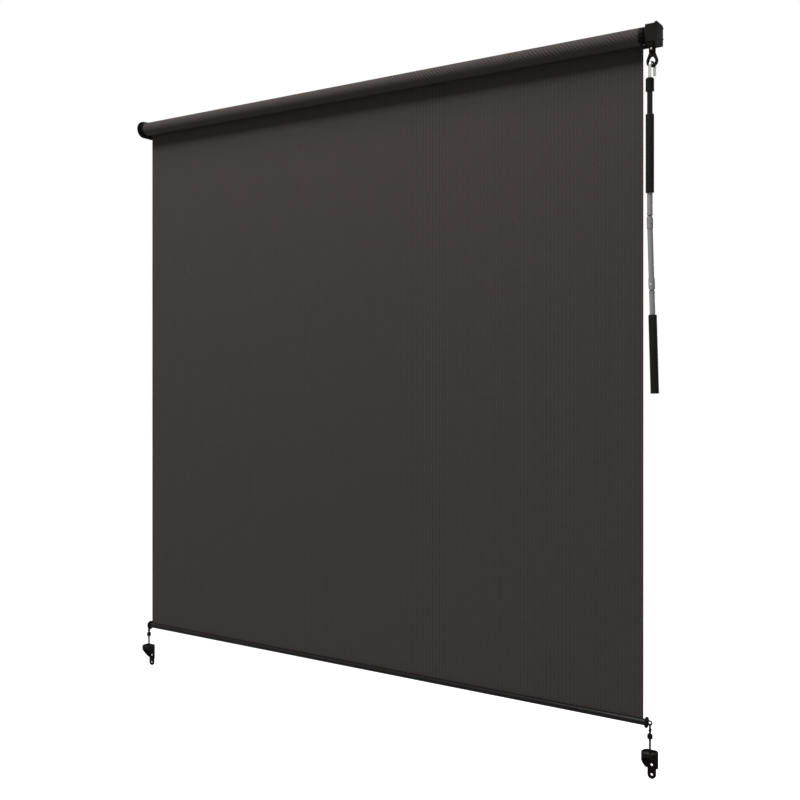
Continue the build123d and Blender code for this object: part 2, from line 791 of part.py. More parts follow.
def elbow_fork(pivot):
    """The forked half of an elbow, standing on its pivot, with a spigot for the arm's tube."""
    side_view = Plane(pivot.origin, x_dir=pivot.x_dir, z_dir=pivot.x_dir.cross(pivot.z_dir))
    elbow_radius = elbow_diameter / 2
    reach = elbow_overhang + elbow_radius
    with BuildPart() as fork:
        with BuildSketch(side_view):
            with Locations((0, -elbow_overhang)):
                Circle(elbow_radius)
            with Locations((0, (elbow_head - elbow_overhang) / 2)):
                Rectangle(elbow_diameter, elbow_head + elbow_overhang)
        extrude(amount=elbow_radius, both=True)
        with BuildSketch(pivot.offset(-reach)):
            Circle(elbow_radius)
        extrude(amount=elbow_head + reach, mode=Mode.INTERSECT)
        with BuildSketch(side_view):
            with Locations((0, (elbow_slot_rise - reach) / 2)):
                Rectangle(2 * elbow_diameter, elbow_slot_rise + reach)
        extrude(amount=elbow_slot / 2, both=True, mode=Mode.SUBTRACT)
        with BuildSketch(side_view):
            Circle(elbow_pin_diameter / 2 + seat_gap)
        extrude(amount=elbow_radius, both=True, mode=Mode.SUBTRACT)
        with BuildSketch(side_view.offset(rivet_seat), side_view.offset(-rivet_seat - rivet_head_height)):
            Circle(rivet_head_diameter / 2 + running_gap)
        extrude(amount=rivet_head_height, mode=Mode.SUBTRACT)
        with BuildSketch(pivot.offset(elbow_head)):
            Circle(crank_tube_bore - seat_gap)
        extrude(amount=elbow_spigot)
    return fork.part


def elbow_tongue(pivot):
    """The tongued half of an elbow, hanging from its pivot, with a spigot for its tube."""
    side_view = Plane(pivot.origin, x_dir=pivot.x_dir, z_dir=pivot.x_dir.cross(pivot.z_dir))
    with BuildPart() as tongue:
        with BuildSketch(side_view):
            Circle(crank_tube_radius - running_gap)
            with Locations((0, -elbow_shoulder / 2)):
                Rectangle(elbow_neck, elbow_shoulder)
        extrude(amount=elbow_slot / 2 - running_gap, both=True)
        with BuildSketch(pivot.offset(-elbow_shoulder)):
            Circle(elbow_tongue_diameter / 2)
        extrude(amount=elbow_shoulder - elbow_tongue_head)
        with BuildSketch(side_view):
            Circle(elbow_pin_diameter / 2 + turning_gap)
        extrude(amount=elbow_slot, both=True, mode=Mode.SUBTRACT)
        with BuildSketch(pivot.offset(-elbow_tongue_head)):
            Circle(crank_tube_bore - seat_gap)
        extrude(amount=-elbow_spigot)
    return tongue.part


def elbow_pin(pivot):
    """The rivet of an elbow, with a flat head in each cheek's seat."""
    side_view = Plane(pivot.origin, x_dir=pivot.x_dir, z_dir=pivot.x_dir.cross(pivot.z_dir))
    head_seat = rivet_seat + seat_gap
    with BuildPart() as rivet:
        with BuildSketch(side_view):
            Circle(elbow_pin_diameter / 2)
        extrude(amount=head_seat, both=True)
        with BuildSketch(side_view.offset(head_seat), side_view.offset(-head_seat - rivet_head_height)):
            Circle(rivet_head_diameter / 2)
        extrude(amount=rivet_head_height)
    return rivet.part


# Both elbows: the arm has a fork and a rivet at each end, and the tubes have the tongues
for place, fork_pivot, tongue_pivot in (
    ("upper", arm_top_pivot, tube_end_pivot),
    ("lower", lower_pivot, lower_pivot),
):
    fork = elbow_fork(fork_pivot)
    fork.label = f"{place}_elbow_fork"
    export_step(fork, f"parts/{place}_elbow_fork.step")
    tongue = elbow_tongue(tongue_pivot)
    tongue.label = f"{place}_elbow_tongue"
    export_step(tongue, f"parts/{place}_elbow_tongue.step")
    rivet = elbow_pin(fork_pivot)
    rivet.label = f"{place}_elbow_pin"
    export_step(rivet, f"parts/{place}_elbow_pin.step")

# Crank arm between the elbows
with BuildPart() as arm_tube:
    with BuildSketch(arm_pivot.offset(-elbow_head)):
        Circle(crank_tube_radius)
        Circle(crank_tube_bore, mode=Mode.SUBTRACT)
    extrude(amount=2 * elbow_head - arm_length)
arm_tube.part.label = "arm_tube"
export_step(arm_tube.part, "parts/arm_tube.step")

# Handle tube, which ends inside the lower grip
handle_length = lower_grip_offset + grip_length - handle_inset
with BuildPart() as handle_tube:
    with BuildSketch(lower_pivot.offset(-elbow_tongue_head)):
        Circle(crank_tube_radius)
        Circle(crank_tube_bore, mode=Mode.SUBTRACT)
    extrude(amount=elbow_tongue_head - handle_length)
handle_tube.part.label = "handle_tube"
export_step(handle_tube.part, "parts/handle_tube.step")

# Lower grip, recessed below for the end plug
lower_grip_top = lower_pivot.offset(-lower_grip_offset)
lower_grip_sleeve = grip(lower_grip_top, grip_length)
with BuildPart() as lower_grip:
    add(lower_grip_sleeve)
    with BuildSketch(lower_pivot.offset(running_gap - handle_length)):
        Circle(handle_cap_diameter / 2 + running_gap)
    extrude(amount=-handle_inset - running_gap, mode=Mode.SUBTRACT)
lower_grip.part.label = "lower_grip"
export_step(lower_grip.part, "parts/lower_grip.step")

# End plug that keeps the lower grip on the handle tube
with BuildPart() as handle_plug:
    with BuildSketch(lower_pivot.offset(-handle_length)):
        Circle(handle_cap_diameter / 2)
    extrude(amount=-handle_cap_thickness)
    with BuildSketch(lower_pivot.offset(-handle_length)):
        Circle(crank_tube_bore - seat_gap)
    extrude(amount=elbow_spigot)
handle_plug.part.label = "handle_plug"
export_step(handle_plug.part, "parts/handle_plug.step")

# Hem bar: a round tube with a slotted channel that grips the fabric's edge
hem_end = fabric_end + hem_overhang
hem_length = 2 * hem_end
keder_radius = keder_diameter / 2
keder_rise = hem_radius - keder_radius - keder_wall


def across_hem(x):
    """The plane across the hem bar at x, with its own x towards the wall and its own y up."""
    return Plane(origin=(x, sheet_y, hem_z), x_dir=(0, 1, 0), z_dir=(1, 0, 0))


with BuildPart() as hem_bar:
    with BuildSketch(across_hem(-hem_end)):
        Circle(hem_radius)
        Circle(hem_radius - hem_wall, mode=Mode.SUBTRACT)
        with BuildSketch(across_hem(-hem_end)):
            Circle(hem_radius)
            with Locations((0, keder_rise)):
                Circle(keder_radius + keder_wall, mode=Mode.INTERSECT)
        with Locations((0, keder_rise)):
            Circle(keder_radius, mode=Mode.SUBTRACT)
        with Locations((0, hem_radius)):
            Rectangle(keder_slot, 2 * (keder_wall + keder_radius), mode=Mode.SUBTRACT)
    extrude(amount=hem_length)
hem_bar.part.label = "hem_bar"
export_step(hem_bar.part, "parts/hem_bar.step")

# Spline rod that locks the fabric in the channel
with BuildPart() as hem_spline:
    with BuildSketch(across_hem(-fabric_end)):
        with Locations((0, keder_rise - (keder_diameter - spline_diameter) / 2)):
            Circle(spline_diameter / 2)
    extrude(amount=fabric_width)
hem_spline.part.label = "hem_spline"
export_step(hem_spline.part, "parts/hem_spline.step")


def hem_plug(side):
    """End plug of the hem bar: a spigot, a round flange and a small eye."""
    plug_radius = hem_radius - hem_wall - seat_gap
    eye_front_view = Plane(origin=(side * tie_x, sheet_y, hem_z), x_dir=(1, 0, 0), z_dir=(0, -1, 0))
    flange_face = hem_end + plug_flange_thickness
    neck = tie_x - flange_face
    with BuildPart() as plug:
        with BuildSketch(eye_front_view) as eye_outline:
            Circle(plug_eye_diameter / 2)
            with Locations((-side * neck / 2, 0)):
                Rectangle(neck, plug_neck_height)
            Circle(plug_eye_hole / 2, mode=Mode.SUBTRACT)
        extrude(amount=plug_eye_thickness / 2, both=True)
        chamfer(plug.faces().filter_by(Axis.Y).edges().filter_by(GeomType.CIRCLE), plug_eye_edge)
        with BuildSketch(across_hem(side * hem_end)):
            Circle(plug_flange_diameter / 2)
        extrude(amount=side * plug_flange_thickness)
        with BuildSketch(across_hem(side * hem_end)):
            Circle(plug_radius)
            with Locations((0, keder_rise)):
                Circle(keder_radius + keder_wall + seat_gap, mode=Mode.SUBTRACT)
        extrude(amount=-side * plug_spigot_length)
    return plug.part


def tie_staple(side):
    """Bent wire staple that hangs in the plug's eye, with both legs in the bead."""
    leg = staple_bend_z - bead_top + staple_inset
    bend_plane = Plane(origin=(side * tie_x, sheet_y, staple_bend_z), x_dir=(0, 1, 0), z_dir=(1, 0, 0))
    with BuildPart() as staple:
        with BuildLine(bend_plane) as wire:
            Line((-staple_bend_radius, -leg), (-staple_bend_radius, 0))
            ThreePointArc((-staple_bend_radius, 0), (0, staple_bend_radius), (staple_bend_radius, 0))
            Line((staple_bend_radius, 0), (staple_bend_radius, -leg))
        with BuildSketch(level(side * tie_x, sheet_y - staple_bend_radius, staple_bend_z - leg)):
            Circle(staple_wire / 2)
        sweep(path=wire.wires()[0])
    return staple.part


def tie_bead(side):
    """Barrel that clamps the staple's legs above and the elastic cord below."""
    with BuildPart() as bead:
        with BuildSketch(level(side * tie_x, sheet_y, bead_top)):
            Circle(bead_diameter / 2)
        extrude(amount=-bead_length)
        chamfer(bead.edges(), bead_chamfer)
        with BuildSketch(level(side * tie_x, sheet_y, bead_top)):
            with Locations((0, staple_bend_radius), (0, -staple_bend_radius)):
                Circle(staple_wire / 2 + seat_gap)
        extrude(amount=-staple_inset, mode=Mode.SUBTRACT)
        with BuildSketch(level(side * tie_x, sheet_y, bead_top - bead_length)):
            Circle(cord_diameter / 2 + seat_gap)
        extrude(amount=cord_bead_depth, mode=Mode.SUBTRACT)
    return bead.part


def tie_cord(side):
    """Taut elastic cord from the bead to its knot below the cup's web."""
    cord_top = bead_top - bead_length + cord_bead_depth
    knot_z = tie_top - cup_pocket - cup_web - knot_diameter / 2
    with BuildPart() as cord:
        with BuildSketch(level(side * tie_x, sheet_y, cord_top)):
            Circle(cord_diameter / 2)
        extrude(amount=knot_z - cord_top)
        with Locations((side * tie_x, sheet_y, knot_z)):
            Sphere(knot_diameter / 2)
    return cord.part


def tie_bracket(side):
    """Tie-down bracket: a round cup, slanted and hollow below, on a wall plate with a tab."""
    x = side * tie_x
    tab_radius = tie_tab_width / 2
    cup_radius = cup_diameter / 2
    cup_front = cup_standoff + cup_radius
    floor_bottom = tie_top - cup_pocket - cup_web
    side_view = Plane(origin=(x, 0, tie_top), x_dir=(0, -1, 0), z_dir=(-1, 0, 0))
    with BuildPart() as bracket:
        with BuildSketch(side_view):
            with BuildLine():
                Line((0, 0), (cup_front, 0))
                Line((cup_front, 0), (cup_front, -cup_lip))
                ThreePointArc(
                    (cup_front, -cup_lip),
                    (cup_slant_reach, -cup_slant_drop),
                    (tie_plate_thickness, -cup_height),
                )
                Line((tie_plate_thickness, -cup_height), (0, -cup_height))
                Line((0, -cup_height), (0, 0))
            make_face()
        extrude(amount=cup_radius, both=True)
        with BuildSketch(level(x, -cup_standoff, tie_top)):
            Circle(cup_radius)
        extrude(amount=-cup_height, mode=Mode.INTERSECT)
        chamfer(bracket.faces().sort_by(Axis.Z)[-1].edges(), cup_edge)
        with BuildSketch(wall_front):
            with Locations((x, tie_top - cup_edge - (tie_height - cup_edge - tab_radius) / 2)):
                Rectangle(tie_tab_width, tie_height - cup_edge - tab_radius)
            with Locations((x, tie_top - tie_height + tab_radius)):
                Circle(tab_radius)
        extrude(amount=tie_plate_thickness)
        for height, depth in ((tie_top, cup_pocket), (floor_bottom, cup_height)):
            with BuildSketch(level(x, -cup_standoff, height)):
                Circle(cup_radius - cup_wall)
                with Locations((0, cup_standoff - tie_plate_thickness + cup_radius)):
                    Rectangle(cup_diameter, cup_diameter, mode=Mode.SUBTRACT)
            extrude(amount=-depth, mode=Mode.SUBTRACT)
        with BuildSketch(level(x, sheet_y, tie_top)):
            Circle(cord_diameter / 2 + cord_hole_gap)
        extrude(amount=floor_bottom - tie_top, mode=Mode.SUBTRACT)
        with BuildSketch(wall_front):
            with Locations(
                (x, tie_top - tie_hole_drop),
                (x, tie_top - tie_hole_drop - tie_hole_spacing),
            ):
                Circle(tie_hole_diameter / 2)
        extrude(amount=tie_plate_thickness, mode=Mode.SUBTRACT)
    return bracket.part


# The pieces that both ends of the hem bar have
for side, name in ((-1, "left"), (1, "right")):
    for piece, maker in (
        ("hem_plug", hem_plug),
        ("tie_staple", tie_staple),
        ("tie_bead", tie_bead),
        ("tie_cord", tie_cord),
        ("tie_bracket", tie_bracket),
    ):
        made = maker(side)
        made.label = f"{piece}_{name}"
        export_step(made, f"parts/{piece}_{name}.step")
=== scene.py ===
"""Looks of the outdoor roller blind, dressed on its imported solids."""

import json
import math

import bmesh
import bpy
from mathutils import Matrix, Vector


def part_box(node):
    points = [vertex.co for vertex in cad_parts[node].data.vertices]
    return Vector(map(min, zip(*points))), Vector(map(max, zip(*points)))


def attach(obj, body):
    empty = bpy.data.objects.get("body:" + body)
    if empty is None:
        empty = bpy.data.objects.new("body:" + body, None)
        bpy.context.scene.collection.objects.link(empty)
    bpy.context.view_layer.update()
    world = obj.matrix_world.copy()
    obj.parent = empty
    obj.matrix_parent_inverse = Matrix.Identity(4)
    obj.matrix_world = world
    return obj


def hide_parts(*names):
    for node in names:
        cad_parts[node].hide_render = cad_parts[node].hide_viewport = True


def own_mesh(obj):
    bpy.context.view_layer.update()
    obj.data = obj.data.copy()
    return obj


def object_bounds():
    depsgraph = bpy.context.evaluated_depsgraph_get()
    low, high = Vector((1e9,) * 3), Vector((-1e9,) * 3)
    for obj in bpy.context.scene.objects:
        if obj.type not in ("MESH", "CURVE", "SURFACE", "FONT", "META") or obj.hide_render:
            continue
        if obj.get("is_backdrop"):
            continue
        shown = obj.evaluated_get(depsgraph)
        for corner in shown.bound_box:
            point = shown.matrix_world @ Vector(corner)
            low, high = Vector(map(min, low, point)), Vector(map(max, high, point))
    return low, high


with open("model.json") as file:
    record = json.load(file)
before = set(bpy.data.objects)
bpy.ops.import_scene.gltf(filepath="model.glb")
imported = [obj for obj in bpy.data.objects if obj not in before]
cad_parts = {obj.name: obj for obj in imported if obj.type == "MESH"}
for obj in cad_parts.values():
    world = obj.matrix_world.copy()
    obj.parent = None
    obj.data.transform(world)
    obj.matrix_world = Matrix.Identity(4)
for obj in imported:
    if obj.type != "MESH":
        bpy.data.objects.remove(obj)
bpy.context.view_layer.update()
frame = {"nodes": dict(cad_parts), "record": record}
nodes = frame["nodes"]

# Sizes that the looks share with the solids, in metres
FABRIC_WIDTH = 1.830
FABRIC_THICKNESS = 0.0006
ROLL_AXIS_Y = -0.039
ROLL_RADIUS = 0.02275
ROLL_CORE = 0.01905
SHEET_Y = -0.01565
HEM_Z = -1.7885
HEM_RADIUS = 0.00875
SHEET_TUCK = 0.0012
TIE_X = 0.932
LASHING_Z = HEM_Z - 0.0195
CORD_TOP = HEM_Z - 0.035
KNOT_Z = HEM_Z - 0.08675
CORD_DIAMETER = 0.005

# Cloth, in metres
SIDE_GAP = 0.0005
SHEET_WIDTH = FABRIC_WIDTH - 2 * SIDE_GAP
SHEET_BOTTOM = HEM_Z + HEM_RADIUS - SHEET_TUCK
SHEET_RIPPLE = 0.0006
ROLL_TURNS = 6.25
LAYER_THICKNESS = FABRIC_THICKNESS * 0.9
THREAD_PITCH = 0.0031
RIB_PITCH = 0.0115

# Cords, knots and screw heads, in metres
BRAID_PITCH = 0.0009
STRAND_COUNT = 10
STRAND_RADIUS = 0.0006
STRAND_LAY = 0.011
SLEEVE_CORE = CORD_DIAMETER / 2 - STRAND_RADIUS / 2
KNOT_RADIUS = 0.0045
KNOT_STRAND = CORD_DIAMETER * 0.36
LASHING_RADIUS = 0.0055
LASHING_STRAND = CORD_DIAMETER * 0.42
HEAD_HEIGHT = 0.002
RECESS_DEPTH = 0.0011
SHARP_ANGLE = math.radians(70)

# Stage, in metres
FLOOR_Z = -3.6
FLOOR_REACH = 30.0

# A Wave texture of scale 1 repeats after this length
WAVE_LENGTH = 0.1 * math.pi

# Thread tones of the sun screen and of the cord's sleeve; the gap tones are painted shade in the gaps
# between threads
TWIN_TONE = (0.020, 0.0165, 0.016, 1)
WORN_TONE = (0.036, 0.0305, 0.0296, 1)
GAP_SHADE_TONE = (0.006, 0.005, 0.005, 1)
STRAND_TONE = (0.020, 0.018, 0.018, 1)
CROSSED_STRAND_TONE = (0.009, 0.008, 0.008, 1)
STRAND_GAP_SHADE_TONE = (0.003, 0.003, 0.003, 1)


# Objects


def put(name, data):
    """A new object in the scene, at the origin."""
    made = bpy.data.objects.new(name, data)
    bpy.context.scene.collection.objects.link(made)
    return made


def bake(pattern):
    """The evaluated pattern as a plain mesh; the pattern itself is removed."""
    depsgraph = bpy.context.evaluated_depsgraph_get()
    mesh = bpy.data.meshes.new_from_object(
        pattern.evaluated_get(depsgraph),
        preserve_all_data_layers=True,
        depsgraph=depsgraph,
    )
    bpy.data.objects.remove(pattern)
    return mesh


# Node helpers


def add(tree, kind, feeds=None, **settings):
    """A node with its settings; feeds gives its inputs a value or another node's output."""
    node = tree.nodes.new(kind)
    for name, value in settings.items():
        setattr(node, name, value)
    for key, value in (feeds or {}).items():
        if isinstance(value, bpy.types.NodeSocket):
            tree.links.new(value, node.inputs[key])
        else:
            node.inputs[key].default_value = value
    return node


def sums(tree, operation, first, second=0.0, third=0.0):
    """The output of one Math node."""
    return add(tree, "ShaderNodeMath", {0: first, 1: second, 2: third}, operation=operation).outputs[0]


def tint(tree, share, first, second):
    """The output of a colour mix."""
    return add(tree, "ShaderNodeMix", {0: share, 6: first, 7: second}, data_type="RGBA").outputs[2]


def noise(tree, feeds):
    """The value of a noise texture."""
    return add(tree, "ShaderNodeTexNoise", feeds).outputs[0]


def remap(tree, value, source, target=(0.0, 1.0), curve="LINEAR"):
    """A value taken from its source span to a target span."""
    feeds = {0: value, 1: source[0], 2: source[1], 3: target[0], 4: target[1]}
    return add(tree, "ShaderNodeMapRange", feeds, interpolation_type=curve).outputs[0]


def new_group(kind, name, inputs, outputs):
    """An empty node group with named sockets, and its two end nodes."""
    tree = bpy.data.node_groups.new(name, kind)
    for label, socket_type, value in inputs:
        socket = tree.interface.new_socket(label, in_out="INPUT", socket_type=socket_type)
        if value is not None:
            socket.default_value = value
    for label, socket_type in outputs:
        tree.interface.new_socket(label, in_out="OUTPUT", socket_type=socket_type)
    return tree, tree.nodes.new("NodeGroupInput"), tree.nodes.new("NodeGroupOutput")


# Shader groups that several finishes share


def weave_group():
    """Plain weave from two thread coordinates: which thread is on top, its crown and the open gaps."""
    tree, start, end = new_group(
        "ShaderNodeTree",
        "plain_weave",
        [
            ("Across", "NodeSocketFloat", 0.0),
            ("Along", "NodeSocketFloat", 0.0),
            ("Pitch", "NodeSocketFloat", 0.003),
            ("Position", "NodeSocketVector", None),
        ],
        [
            ("Height", "NodeSocketFloat"),
            ("Warp", "NodeSocketFloat"),
            ("Gap", "NodeSocketFloat"),
            ("Twin", "NodeSocketFloat"),
            ("Slub", "NodeSocketFloat"),
        ],
    )
    given = start.outputs
    across = sums(tree, "DIVIDE", given["Across"], given["Pitch"])
    along = sums(tree, "DIVIDE", given["Along"], given["Pitch"])
    warp_wave = sums(tree, "SINE", sums(tree, "MULTIPLY", across, math.pi))
    weft_wave = sums(tree, "SINE", sums(tree, "MULTIPLY", along, math.pi))
    warp = sums(tree, "ABSOLUTE", warp_wave)
    weft = sums(tree, "ABSOLUTE", weft_wave)
    side = sums(tree, "MULTIPLY", warp_wave, weft_wave)
    on_top = remap(tree, side, (-0.12, 0.12), curve="SMOOTHSTEP")
    crown = add(tree, "ShaderNodeMix", {0: on_top, 2: weft, 3: warp}, data_type="FLOAT").outputs[0]
    gap = sums(tree, "MULTIPLY", sums(tree, "SUBTRACT", 1.0, warp), sums(tree, "SUBTRACT", 1.0, weft))
    twin = remap(tree, warp_wave, (-0.3, 0.3), curve="SMOOTHSTEP")
    slub = noise(tree, {"Vector": given["Position"], "Scale": 36.0, "Detail": 3.0})
    tree.links.new(crown, end.inputs["Height"])
    tree.links.new(on_top, end.inputs["Warp"])
    tree.links.new(gap, end.inputs["Gap"])
    tree.links.new(twin, end.inputs["Twin"])
    tree.links.new(slub, end.inputs["Slub"])
    return tree


def rib_group():
    """Faint ribs of a cloth, which wander a little and come and go across its width."""
    tree, start, end = new_group(
        "ShaderNodeTree",
        "faint_ribs",
        [
            ("Across", "NodeSocketFloat", 0.0),
            ("Along", "NodeSocketFloat", 0.0),
            ("Lean", "NodeSocketFloat", 0.0),
            ("Strength", "NodeSocketFloat", 0.3),
        ],
        [("Rib", "NodeSocketFloat")],
    )
    given = start.outputs
    slant = sums(tree, "SUBTRACT", given["Across"], sums(tree, "MULTIPLY", given["Along"], given["Lean"]))
    drift = sums(tree, "MULTIPLY", given["Along"], 0.004)
    drawn = add(tree, "ShaderNodeCombineXYZ", {0: slant, 1: drift}).outputs[0]
    waves = {
        "Vector": drawn,
        "Scale": WAVE_LENGTH / RIB_PITCH,
        "Distortion": 2.0,
        "Detail": 2.0,
        "Detail Scale": 0.5,
    }
    streak = add(tree, "ShaderNodeTexWave", waves, wave_type="BANDS", bands_direction="X").outputs["Fac"]
    bands = noise(tree, {"Vector": drawn, "Scale": 6.0, "Detail": 1.0})
    contrast = remap(tree, bands, (0.4, 0.6), (0.45, 1.1))
    swing = sums(tree, "MULTIPLY", sums(tree, "SUBTRACT", streak, 0.5), contrast)
    rib = sums(tree, "MULTIPLY", sums(tree, "ADD", swing, 0.5), given["Strength"])
    tree.links.new(rib, end.inputs["Rib"])
    return tree


def skin_group():
    """Skin of a moulded or coated surface: fine grain, soft waviness and rubbed patches."""
    tree, start, end = new_group(
        "ShaderNodeTree",
        "grained_skin",
        [
            ("Position", "NodeSocketVector", None),
            ("Grain", "NodeSocketFloat", 900.0),
            ("Patch", "NodeSocketFloat", 30.0),
        ],
        [
            ("Grain", "NodeSocketFloat"),
            ("Patch", "NodeSocketFloat"),
            ("Rub", "NodeSocketFloat"),
        ],
    )
    place = start.outputs["Position"]
    fine = sums(tree, "MULTIPLY", start.outputs["Patch"], 4.0)
    grain = noise(tree, {"Vector": place, "Scale": start.outputs["Grain"], "Detail": 2.0})
    patch = noise(tree, {"Vector": place, "Scale": start.outputs["Patch"], "Detail": 4.0})
    rub = noise(tree, {"Vector": place, "Scale": fine, "Detail": 6.0, "Roughness": 0.7})
    rubbed = remap(tree, rub, (0.58, 0.74), curve="SMOOTHSTEP")
    tree.links.new(grain, end.inputs["Grain"])
    tree.links.new(patch, end.inputs["Patch"])
    tree.links.new(rubbed, end.inputs["Rub"])
    return tree


plain_weave = weave_group()
faint_ribs = rib_group()
grained_skin = skin_group()


# Materials


def blank(name):
    """A new material with its shader and its Object coordinates."""
    material = bpy.data.materials.new(name)
    material.use_nodes = True
    tree = material.node_tree
    shader = tree.nodes["Principled BSDF"]
    place = add(tree, "ShaderNodeTexCoord").outputs["Object"]
    return material, tree, shader, place


def finish_surface(tree, shader, colour, roughness, bump):
    """Feeds a shader its colour, its roughness and a Bump node with the given inputs."""
    tree.links.new(colour, shader.inputs["Base Color"])
    tree.links.new(roughness, shader.inputs["Roughness"])
    tree.links.new(add(tree, "ShaderNodeBump", bump).outputs[0], shader.inputs["Normal"])


def cloth(name, wound, weft, warp, twin, lean, rib):
    """Woven sun screen in two thread tones; on the wound roll the weave runs round the axis."""
    material, tree, shader, place = blank(name)
    axes = add(tree, "ShaderNodeSeparateXYZ", {0: place}).outputs
    along = axes[2]
    if wound:
        turn = sums(tree, "ARCTAN2", sums(tree, "SUBTRACT", ROLL_AXIS_Y, axes[1]), axes[2])
        along = sums(tree, "MULTIPLY", turn, ROLL_RADIUS)
    threads = {"Across": axes[0], "Along": along, "Pitch": THREAD_PITCH, "Position": place}
    weave = add(tree, "ShaderNodeGroup", threads, node_tree=plain_weave).outputs
    lines = {"Across": axes[0], "Along": along, "Lean": lean, "Strength": rib}
    ribs = add(tree, "ShaderNodeGroup", lines, node_tree=faint_ribs).outputs
    crossed = tint(tree, weave["Warp"], weft, warp)
    twinned = tint(tree, sums(tree, "MULTIPLY", weave["Twin"], twin), crossed, TWIN_TONE)
    uneven = sums(tree, "ADD", sums(tree, "MULTIPLY", weave["Slub"], 0.3), ribs["Rib"])
    slubbed = tint(tree, uneven, twinned, WORN_TONE)
    # Painted shade: the open gaps between the threads are darkened
    shaded = tint(tree, sums(tree, "MULTIPLY", weave["Gap"], 0.9), slubbed, GAP_SHADE_TONE)
    finish_surface(
        tree,
        shader,
        shaded,
        remap(tree, weave["Height"], (0.0, 1.0), (0.9, 0.68)),
        {"Strength": 0.55, "Distance": 0.0004, "Height": weave["Height"]},
    )
    shader.inputs["Sheen Weight"].default_value = 0.04
    shader.inputs["Sheen Roughness"].default_value = 0.5
    shader.inputs["Specular IOR Level"].default_value = 0.1
    return material


def skin(name, colour, rubbed, roughness, grain, patch, depth, metal=0.0, share=0.35, gloss=0.5):
    """A moulded plastic, coated or plated finish on the shared skin group."""
    material, tree, shader, place = blank(name)
    feeds = {"Position": place, "Grain": grain, "Patch": patch}
    shell = add(tree, "ShaderNodeGroup", feeds, node_tree=grained_skin).outputs
    shade = tuple(0.72 * channel for channel in colour[:3]) + (1,)
    toned = tint(tree, sums(tree, "MULTIPLY", shell["Patch"], 0.5), colour, shade)
    finish_surface(
        tree,
        shader,
        tint(tree, sums(tree, "MULTIPLY", shell["Rub"], share), toned, rubbed),
        remap(tree, shell["Patch"], (0.3, 0.7), roughness),
        {"Strength": 0.35, "Distance": depth, "Height": shell["Grain"]},
    )
    shader.inputs["Metallic"].default_value = metal
    shader.inputs["Specular IOR Level"].default_value = gloss
    return material


def braid(name):
    """Elastic cord's woven sleeve, marked along its own run."""
    material, tree, shader, place = blank(name)
    axes = add(tree, "ShaderNodeSeparateXYZ", {0: place}).outputs
    threads = {
        "Across": sums(tree, "ADD", axes[1], axes[2]),
        "Along": sums(tree, "SUBTRACT", axes[2], axes[1]),
        "Pitch": BRAID_PITCH,
        "Position": place,
    }
    weave = add(tree, "ShaderNodeGroup", threads, node_tree=plain_weave).outputs
    crossed = tint(tree, weave["Warp"], STRAND_TONE, CROSSED_STRAND_TONE)
    # Painted shade: the gaps between the strands are darkened
    finish_surface(
        tree,
        shader,
        tint(tree, weave["Gap"], crossed, STRAND_GAP_SHADE_TONE),
        remap(tree, weave["Height"], (0.0, 1.0), (0.85, 0.6)),
        {"Strength": 0.5, "Distance": 0.0002, "Height": weave["Height"]},
    )
    shader.inputs["Specular IOR Level"].default_value = 0.1
    return material


hanging_screen = cloth(
    "hanging_screen",
    wound=False,
    weft=(0.084, 0.0705, 0.068, 1),
    warp=(0.056, 0.0465, 0.045, 1),
    twin=0.22,
    lean=0.0,
    rib=0.33,
)
wound_screen = cloth(
    "wound_screen",
    wound=True,
    weft=(0.152, 0.1195, 0.1165, 1),
    warp=(0.030, 0.0236, 0.0228, 1),
    twin=0.1,
    lean=0.8,
    rib=0.85,
)
black_moulding = skin(
    "black_moulding",
    colour=(0.0105, 0.0082, 0.0080, 1),
    rubbed=(0.022, 0.018, 0.0176, 1),
    roughness=(0.55, 0.7),
    grain=1500,
    patch=28,
    depth=0.00008,
    gloss=0.05,
)
grip_moulding = skin(
    "grip_moulding",
    colour=(0.0125, 0.0098, 0.0096, 1),
    rubbed=(0.022, 0.018, 0.0176, 1),
    roughness=(0.45, 0.6),
    grain=1100,
    patch=20,
    depth=0.00006,
    gloss=0.08,
)
grey_coat = skin(
    "grey_coat",
    colour=(0.255, 0.255, 0.254, 1),
    rubbed=(0.33, 0.33, 0.325, 1),
    roughness=(0.36, 0.5),
    grain=800,
    patch=22,
    depth=0.00005,
    share=0.2,
    gloss=0.35,
)
black_coat = skin(
    "black_coat",
    colour=(0.0085, 0.0068, 0.0066, 1),
    rubbed=(0.018, 0.015, 0.0146, 1),
    roughness=(0.2, 0.28),
    grain=800,
    patch=24,
    depth=0.00003,
    gloss=0.14,
)
zinc_plate = skin(
    "zinc_plate",
    colour=(0.50, 0.50, 0.49, 1),
    rubbed=(0.66, 0.66, 0.65, 1),
    roughness=(0.26, 0.42),
    grain=700,
    patch=60,
    depth=0.00003,
    metal=1.0,
)
mill_aluminium = skin(
    "mill_aluminium",
    colour=(0.74, 0.75, 0.76, 1),
    rubbed=(0.82, 0.82, 0.82, 1),
    roughness=(0.3, 0.45),
    grain=500,
    patch=12,
    depth=0.00003,
    metal=1.0,
)
machined_bronze = skin(
    "machined_bronze",
    colour=(0.50, 0.34, 0.15, 1),
    rubbed=(0.62, 0.46, 0.24, 1),
    roughness=(0.24, 0.4),
    grain=700,
    patch=60,
    depth=0.00003,
    metal=1.0,
)
natural_nylon = skin(
    "natural_nylon",
    colour=(0.70, 0.68, 0.62, 1),
    rubbed=(0.60, 0.58, 0.52, 1),
    roughness=(0.4, 0.55),
    grain=900,
    patch=40,
    depth=0.00004,
)
braided_elastic = braid("braided_elastic")

